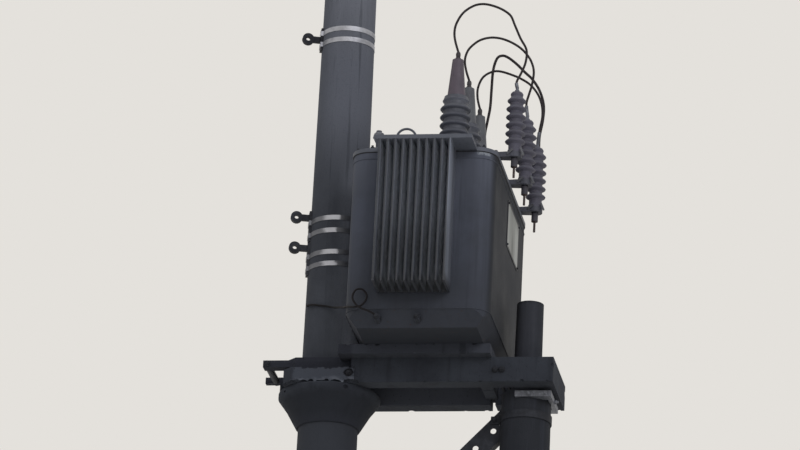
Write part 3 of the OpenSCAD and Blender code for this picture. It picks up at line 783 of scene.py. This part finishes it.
# High-voltage and low-voltage bushings
# Porcelain turned on a lathe, dipped in dark glaze and clamped to the cover by its flange. A
# tapered rubber boot covers the head of each high-voltage one, up to its lead's lug.
bushing_x = centre("hv_bushing_front").x
boot_foot = cover_top + 0.347
boot_top = cover_top + 0.55
# Glazed porcelain: smooth and hard, but dulled by dust, so its highlights are broad and weak. The
# boots are grey rubber, and the front one has weathered to a purplish tint.
boot = ("z", boot_foot, boot_foot + 0.002)
glaze = weathered(
    "dark_glazed_porcelain",
    "#4f5159",
    [
        ("#43454d", 1.0, ("dust", 0.35, 0.7)),
        # Painted light: faces that look down are paler.
        ("#6f717a", 0.8, ("up", -0.1, -0.6)),
        ("#5f5f62", 0.6, ("up", 0.3, 0.9)),
        ("#4a4d54", 0.9, ("z", cover_top + 0.0175, cover_top + 0.0165)),
        ("#5b5d60", 1.0, boot),
        ("#584d56", 1.0, boot, ("y", -0.2, -0.25)),
        ("#4b464c", 0.5, boot, ("dust", 0.4, 0.7)),
        ("#2b2629", 0.9, ("z", boot_top, boot_top + 0.003)),
    ],
    {"dust": ((45, 45, 70), 5, 0.6), "film": ((11, 11, 11), 3, 0.5)},
    ("dust", 0.42, 0.68),
    [("film", 0.3, 0.7, 0.1, 0.8)],
)
for name in phases:
    finish_node("hv_bushing_" + name, glaze)
lv_bushings = [f"lv_bushing_{number}" for number in range(1, 5)]
for name in lv_bushings:
    finish_node(name, glaze)


def ring_of(middle, radius, height, count):
    """Seats for upright studs on a circle about the middle of a bushing."""
    seats = []
    for k in range(count):
        angle = math.tau * (k + 0.5) / count
        x = middle.x + radius * math.cos(angle)
        y = middle.y + radius * math.sin(angle)
        seats.append(((x, y, height), up))
    return seats


hv_stud_circle, hv_flange_top = 0.079, cover_top + 0.016
lv_stud_circle, lv_flange_top = 0.038, cover_top + 0.012
lv_terminal, lv_terminal_width = cover_top + 0.156, 0.028
flange_seats = []
for name in phases:
    flange_seats += ring_of(centre("hv_bushing_" + name), hv_stud_circle, hv_flange_top, 6)
fasteners("hv_flange_nuts", flange_seats, m8, 0.006, sooty_zinc)
flange_seats, stud_seats = [], []
for name in lv_bushings:
    middle = centre(name)
    flange_seats += ring_of(middle, lv_stud_circle, lv_flange_top, 4)
    stud_seats.append(((middle.x, middle.y, lv_terminal), up))
fasteners("lv_flange_nuts", flange_seats, m6, 0.004, sooty_zinc)
fasteners("lv_terminal_nuts", stud_seats, lv_terminal_width, 0.003, clean_zinc)

# Surge arresters
# Varistor blocks in a moulded silicone housing with six sheds. Each stands on a moulded
# insulating arm, held by steel clips, and its cut-out and earth stud hang below the arm.
arrester_x = centre("surge_arrester_front").x
arrester_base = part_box("arrester_bracket_front")[1].z
arrester_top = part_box("surge_arrester_front")[1].z
# Silicone: soft grey with a powdery bloom, rough enough to hide any highlight.
silicone = weathered(
    "moulded_grey_silicone",
    "#4b4852",
    [
        ("#565460", 1.0, ("bloom", 0.3, 0.7)),
        # Painted light: faces that look down are paler.
        ("#676570", 0.7, ("up", -0.1, -0.6)),
        ("#5f5f63", 0.5, ("up", 0.3, 0.9)),
        ("#6d6e74", 0.9, ("z", arrester_top - 0.019, arrester_top - 0.017)),
        ("#3a383e", 0.9, ("z", arrester_base - 0.001, arrester_base - 0.003)),
        ("#3d2e2a", 0.9, ("z", arrester_base - 0.073, arrester_base - 0.076)),
    ],
    {"bloom": ((33, 33, 33), 5, 0.6)},
    ("bloom", 0.55, 0.78),
    [("bloom", 0.3, 0.7, 0.15, 0.8)],
)
# Nylon filled with glass fibre: dark, hard and slightly waxy, greyed on top.
glass_filled_nylon = weathered(
    "glass_filled_nylon",
    "#3f4048",
    [("#4e4f58", 1.0, ("bloom", 0.35, 0.7)), ("#5a5a5e", 0.6, ("up", 0.4, 0.9))],
    {"bloom": ((30, 30, 30), 5, 0.6)},
    ("bloom", 0.5, 0.72),
    [("bloom", 0.3, 0.7, 0.2, 0.8)],
)
# Rolled stainless steel: fine lines along the strip, drawn 4.5 mm apart, scatter its highlights.
# The main pole's lower straps are painted bright in front, as a painted reflection of the sky, and
# darker on both sides, as painted shade.
lower_straps = ("z", 6.4, 6.3)
rolled_stainless = weathered(
    "rolled_stainless_steel",
    "#b4b5bb",
    [
        ("#8f9096", 1.0, ("smudge", 0.35, 0.7)),
        # Painted reflection on the lower straps' fronts, and painted shade on both sides.
        ("#c9cad0", 0.55, lower_straps),
        ("#3b3d42", 0.85, lower_straps, ("x~smudge", 0.062, 0.085)),
        ("#3b3d42", 0.7, lower_straps, ("x~smudge", 0.02, -0.02)),
    ],
    {"rolling": ((170, 170, 4.5), 4, 0.6), "smudge": ((70, 70, 70), 5, 0.6)},
    ("rolling", 0.46, 0.62),
    [("rolling", 0.3, 0.7, 0.1, 0.3)],
    Metallic=0.8,
)


def flat_bar(start, end, across, thick):
    """Corners of a bar from start to end, given its width as a vector and its thickness as one."""
    start, end, across, thick = (Vector(v) for v in (start, end, across, thick))
    corners = [(0, 0), (1, 0), (1, 1), (0, 1)]
    return [p + across * (a - 0.5) + thick * b for p in (start, end) for a, b in corners]


def strip_steel(name, bars, round_off):
    """Piece of stainless flat bars with softened edges."""
    bar_faces = [(3, 2, 1, 0), (4, 5, 6, 7), (0, 1, 5, 4), (1, 2, 6, 5), (2, 3, 7, 6), (3, 0, 4, 7)]
    points, faces = [], []
    for bar in bars:
        faces += [tuple(len(points) + i for i in face) for face in bar_faces]
        points += bar
    piece = new_piece(name, points, faces, rolled_stainless)
    mesh = bmesh.new()
    mesh.from_mesh(piece.data)
    bmesh.ops.recalc_face_normals(mesh, faces=mesh.faces)
    mesh.to_mesh(piece.data)
    mesh.free()
    softened = piece.modifiers.new("softened", "BEVEL")
    softened.width = round_off
    softened.segments = 2
    return made_final(piece)


for name, y in phases.items():
    finish_node("surge_arrester_" + name, silicone)
    finish_node("arrester_bracket_" + name, glass_filled_nylon)
    # Two short bars slant up beside the arm, left and right of the arrester's foot.
    arm_side = y - 0.035
    low_left, high_left = (0.911, arm_side + 0.002, 6.134), (0.941, arm_side - 0.005, 6.158)
    high_right, low_right = (0.975, arm_side + 0.004, 6.164), (0.989, arm_side + 0.012, 6.13)
    clips = [
        flat_bar(low_left, high_left, (-0.006, 0, 0.008), (0, -0.003, 0.001)),
        flat_bar(high_right, low_right, (0, 0.014, 0), (0.009, 0, 0.004)),
    ]
    strip_steel("arrester_clips_" + name, clips, 0.001)
arm_bolt_x, arm_underside = 0.853, arrester_base - 0.026
arm_bolts = [((arm_bolt_x, y, arrester_base), up) for y in phases.values()]
fasteners("arm_bolts", arm_bolts, m12, 0.006, clean_zinc)
stud_nuts = [((arrester_x, y, arm_underside), down) for y in phases.values()]
fasteners("arrester_stud_nuts", stud_nuts, rod_thread, 0.0, sooty_zinc)

# Leads
# Stranded copper in a dark sheath, bent by hand into loose arches from each bushing's lug to the
# top of its arrester. A thicker one comes out of the cover through a gland behind the rear one.
# Polyethylene: brown-black and waxy, greyed by weather in patches 20 mm long.
sheath = weathered(
    "dark_polyethylene_sheath",
    "#2b2627",
    [("#3b3535", 1.0, ("weather", 0.35, 0.7)), ("#131113", 0.9, ("z", 5.7, 5.6))],
    {"weather": ((20, 20, 20), 4, 0.6)},
    ("weather", 0.6, 0.8),
    [("weather", 0.3, 0.7, 0.1, 0.4)],
    Specular_IOR_Level=0.2,
)


def smooth_route(knots, steps=6):
    """Smooth curve through knots."""
    knots = [Vector(k) for k in knots]
    route = []
    for i in range(len(knots) - 1):
        p0, p1 = knots[max(i - 1, 0)], knots[i]
        p2, p3 = knots[i + 1], knots[min(i + 2, len(knots) - 1)]
        for k in range(steps):
            t = k / steps
            route.append(0.5 * (
                2 * p1
                + (p2 - p0) * t
                + (2 * p0 - 5 * p1 + 4 * p2 - p3) * t**2
                + (3 * p1 - p0 - 3 * p2 + p3) * t**3
            ))
    return route + [knots[-1]]


jumper_radius, cover_lead_radius, crimp_radius, gland_radius = 0.006, 0.007, 0.009, 0.016
# Each knot is a place along the pole line and a height over the bushing's lug.
lug_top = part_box("hv_bushing_front")[1].z
arrester_end = (arrester_x, arrester_top - lug_top)
lead_knots = {
    "front": [
        (bushing_x, 0), (0.62, 0.055), (0.612, 0.104), (0.619, 0.155), (0.65, 0.213), (0.698, 0.25),
        (0.745, 0.262), (0.796, 0.254), (0.852, 0.23), (0.895, 0.196), (0.918, 0.145), (0.95, 0.072),
        (0.983, 0.008), (0.981, -0.06), (0.96, -0.12), (0.94, -0.165), arrester_end,
    ],
    "middle": [
        (bushing_x, 0), (0.618, 0.058), (0.609, 0.112), (0.617, 0.156), (0.638, 0.19), (0.681, 0.224),
        (0.732, 0.238), (0.784, 0.234), (0.836, 0.215), (0.889, 0.182), (0.927, 0.143), (0.954, 0.098),
        (0.967, 0.044), (0.96, -0.026), (0.947, -0.078), (0.936, -0.13), arrester_end,
    ],
    "rear": [
        (bushing_x, 0), (0.622, 0.058), (0.621, 0.118), (0.644, 0.176), (0.688, 0.206), (0.734, 0.209),
        (0.8, 0.187), (0.848, 0.164), (0.896, 0.13), (0.935, 0.079), (0.958, 0.018), (0.963, -0.048),
        (0.952, -0.12), arrester_end,
    ],
}
for name, knots in lead_knots.items():
    route = smooth_route([(x, phases[name], lug_top + rise) for x, rise in knots])
    lead = swept_round("lead_" + name, route, jumper_radius, 14, sheath)
    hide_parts("jumper_lead_" + name)
    # Crimped lug over the lead's end, 30 to 70 mm long, on the arrester's top
    crimped = route[-6:]
    swept_round("lead_lug_" + name, crimped, crimp_radius, 12, clean_zinc)
# The cover lead's heights are over the cover.
gland_x, gland_y = 0.668, 0.53
cover_lead_knots = [
    (gland_x, gland_y, -0.004), (0.66, 0.52, 0.09), (0.652, 0.49, 0.3), (0.657, 0.46, 0.47),
    (0.668, 0.45, 0.54), (0.68, 0.45, 0.625), (0.683, 0.45, 0.725), (0.687, 0.45, 0.83),
    (0.704, 0.45, 0.896), (0.731, 0.45, 0.913), (0.763, 0.45, 0.902), (0.81, 0.45, 0.864),
    (0.853, 0.448, 0.819), (0.897, 0.444, 0.774), (0.938, 0.438, 0.706), (0.962, 0.43, 0.625),
    (0.962, 0.422, 0.54), (0.95, 0.412, 0.45),
    (arrester_x + 0.006, phases["rear"] + 0.008, arrester_top - 0.014 - cover_top),
]
route = smooth_route([(x, y, cover_top + rise) for x, y, rise in cover_lead_knots])
lead = swept_round("lead_from_cover", route, cover_lead_radius, 14, sheath)
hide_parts("cover_lead")
gland = [
    Vector((gland_x, gland_y, cover_top)),
    Vector((gland_x - 0.001, gland_y - 0.001, cover_top + 0.024)),
]
swept_round("cover_lead_gland", gland, gland_radius, 6, sooty_zinc)

# Side plate
# A pressed aluminium plate riveted to the tank's right wall and left blank: a pale enamelled face
# with a dark printed border, chalked and streaked by rain.
plate_low, plate_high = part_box("side_plate")
border, softness = 0.012, 0.002
plate_edges = [
    ("y", plate_low.y, 1),
    ("y", plate_high.y, -1),
    ("z", plate_low.z, 1),
    ("z", plate_high.z, -1),
]
printed_border = [
    ("#23242a", 1.0, (axis, edge + inward * (border + softness), edge + inward * border))
    for axis, edge, inward in plate_edges
]
# Enamelled aluminium: flat and pale, with chalky patches 120 mm wide that rain draws downwards.
enamelled_plate = weathered(
    "pale_enamelled_aluminium",
    "#7c7d77",
    [
        ("#92938b", 1.0, ("weather", 0.35, 0.7)),
        ("#b4b5ad", 0.6, ("y~weather", 0.2, 0.25), ("z", 6.0, 5.94)),
        ("#a9aaa3", 0.6, ("y~weather", 0.05, 0.01)),
        ("#4c4d49", 0.75, ("y~weather", 0.08, 0.145), ("y~weather", 0.215, 0.155), ("z", 5.96, 5.82)),
        *printed_border,
    ],
    {"weather": ((120, 120, 450), 6, 0.6)},
    ("weather", 0.45, 0.6),
    [("weather", 0.3, 0.7, 0.1, 0.4)],
)
finish_node("side_plate", enamelled_plate)
# The rivets are drawn with the smallest hexagon heads, as their own round ones would hardly show.
rivets = [
    ((plate_high.x, y, z), right)
    for y in (plate_low.y + border, plate_high.y - border)
    for z in (plate_low.z + border, plate_high.z - border)
]
fasteners("plate_rivets", rivets, m6, 0.0, sooty_zinc)

# Earth wire
# A copper wire in the same dark sheath runs from the main pole to the tank's front left boss, with
# one loop taken up by hand, and is bolted on under a washer. Its knots' heights are over the
# slab's underside.
earth_knots = [
    (-0.116, -0.08, 0.458), (-0.124, -0.096, 0.455), (-0.086, -0.13, 0.447), (-0.02, -0.158, 0.43),
    (0.03, -0.185, 0.412), (0.08, -0.28, 0.378), (0.128, -0.41, 0.331), (0.14, -0.495, 0.303),
    (0.17, -0.57, 0.277), (0.213, -0.618, 0.259), (0.247, -0.622, 0.265), (0.27, -0.622, 0.294),
    (0.271, -0.622, 0.325), (0.247, -0.624, 0.349), (0.218, -0.628, 0.344), (0.204, -0.634, 0.31),
    (0.213, -0.638, 0.279), (0.242, -0.636, 0.25), (0.288, -0.632, 0.232), (0.324, -0.616, 0.214),
    (0.324, -0.604, 0.212),
]
wire_radius = 0.005
route = smooth_route([(x, y, underside + z) for x, y, z in earth_knots])
wire = swept_round("earth_wire", route, wire_radius, 12, sheath)
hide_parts("earth_lead")
wire_bolt = [((left_boss, -boss_face - 0.004, boss_z), front)]
fasteners("earth_wire_bolt", wire_bolt, m14, 0.006, sooty_zinc)

# Straps and anchors
# Rolled stainless banding, pulled tight round the pole, holds the back plates of three forged
# anchors. A folded buckle locks each band at the rear.
for name in ("upper", "middle", "lower"):
    finish_node("anchor_bracket_" + name, sooty_zinc)
strap_thick, buckle_lift, buckle_overhang = 0.002, 0.0015, 0.003
buckle_width, buckle_height, buckle_thick = 0.032, 0.031, 0.006
tail_width, tail_height, tail_thick, tail_shift = 0.016, 0.026, 0.003, 0.02
buckle_round_off = 0.0015
buckle_turn = math.radians(118)
away = Vector((math.cos(buckle_turn), math.sin(buckle_turn), 0))
along = Vector((-math.sin(buckle_turn), math.cos(buckle_turn), 0))
for number in range(1, 7):
    finish_node(f"strap_{number}", rolled_stainless)
    strap_low, strap_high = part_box(f"strap_{number}")
    outside = strap_high.x - strap_thick + buckle_lift
    foot = away * outside + Vector((0, 0, strap_low.z - buckle_overhang))
    head = foot + Vector((0, 0, buckle_height))
    buckle = flat_bar(foot, head, along * buckle_width, away * buckle_thick)
    tail_foot = foot + along * tail_shift
    tail_head = tail_foot + Vector((0, 0, tail_height))
    tail = flat_bar(tail_foot, tail_head, along * tail_width, away * tail_thick)
    strip_steel(f"buckle_{number}", [buckle, tail], buckle_round_off)

# Floor, sky and lamps
# A pale floor disc under an even overcast sky. Two soft lamps stand in front, the stronger one
# farther to the right. The floor shows as sky colour in reflections.
floor_radius, floor_gap = 10, 0.002
floor_mesh = bpy.data.meshes.new("floor")
disc = bmesh.new()
bmesh.ops.create_circle(disc, cap_ends=True, segments=64, radius=floor_radius)
disc.to_mesh(floor_mesh)
disc.free()
floor = bpy.data.objects.new("floor", floor_mesh)
floor.location.z = -floor_gap
bpy.context.scene.collection.objects.link(floor)
sky_colour = linear("#e4e1dc")
paving = bpy.data.materials.new("pale_paving")
paving.use_nodes = True
tree = paving.node_tree
shader = tree.nodes["Principled BSDF"]
shader.inputs["Base Color"].default_value = linear("#d8d6d0")
shader.inputs["Roughness"].default_value = 0.9
ray = add(tree, "ShaderNodeLightPath").outputs
glow = add(tree, "ShaderNodeEmission", {"Color": sky_colour, "Strength": 1.0})
reflected = {0: ray["Is Glossy Ray"], 1: ray["Is Transmission Ray"]}
mirrored = add(tree, "ShaderNodeMath", reflected, operation="MAXIMUM").outputs[0]
shown = add(tree, "ShaderNodeMixShader", {0: mirrored, 1: shader.outputs[0], 2: glow.outputs[0]})
tree.links.new(shown.outputs[0], tree.nodes["Material Output"].inputs["Surface"])
floor_mesh.materials.append(paving)

world = bpy.data.worlds.new("overcast")
bpy.context.scene.world = world
world.use_nodes = True
tree = world.node_tree
tree.nodes.clear()
direction = add(tree, "ShaderNodeTexCoord").outputs["Generated"]
upward = add(tree, "ShaderNodeSeparateXYZ", {0: direction}).outputs["Z"]
horizon_to_zenith = {0: upward, 1: -0.4, 2: 0.9}
height = add(tree, "ShaderNodeMapRange", horizon_to_zenith, interpolation_type="SMOOTHSTEP").outputs[0]
dome_colours = {0: height, 6: linear("#70737a"), 7: linear("#e4e8f0")}
dome = add(tree, "ShaderNodeMix", dome_colours, data_type="RGBA").outputs[2]
ray = add(tree, "ShaderNodeLightPath").outputs
seen = ray["Is Camera Ray"]
for kind in ("Is Glossy Ray", "Is Transmission Ray"):
    seen = add(tree, "ShaderNodeMath", {0: seen, 1: ray[kind]}, operation="MAXIMUM").outputs[0]
colour = add(tree, "ShaderNodeMix", {0: seen, 6: dome, 7: sky_colour}, data_type="RGBA").outputs[2]
light = add(tree, "ShaderNodeBackground", {"Color": colour, "Strength": 1.0})
add(tree, "ShaderNodeOutputWorld", {"Surface": light.outputs[0]})


def soft_lamp(name, place, target, size, watts, colour):
    """Square area lamp that looks at a target."""
    data = bpy.data.lights.new(name, "AREA")
    data.size = size
    data.energy = watts
    data.color = linear(colour)[:3]
    lamp = bpy.data.objects.new(name, data)
    lamp.location = place
    lamp.rotation_euler = (Vector(target) - Vector(place)).to_track_quat("-Z", "Y").to_euler()
    bpy.context.scene.collection.objects.link(lamp)


transformer_middle, lamp_size = (0.5, 0, 5.6), 7
soft_lamp("right_sky", (9, -12, 11), transformer_middle, lamp_size, 420, "#f2f4ff")
soft_lamp("front_sky", (4.2, -15, 7), transformer_middle, lamp_size, 240, "#f4f2f0")

bpy.context.scene.view_settings.view_transform = "Standard"
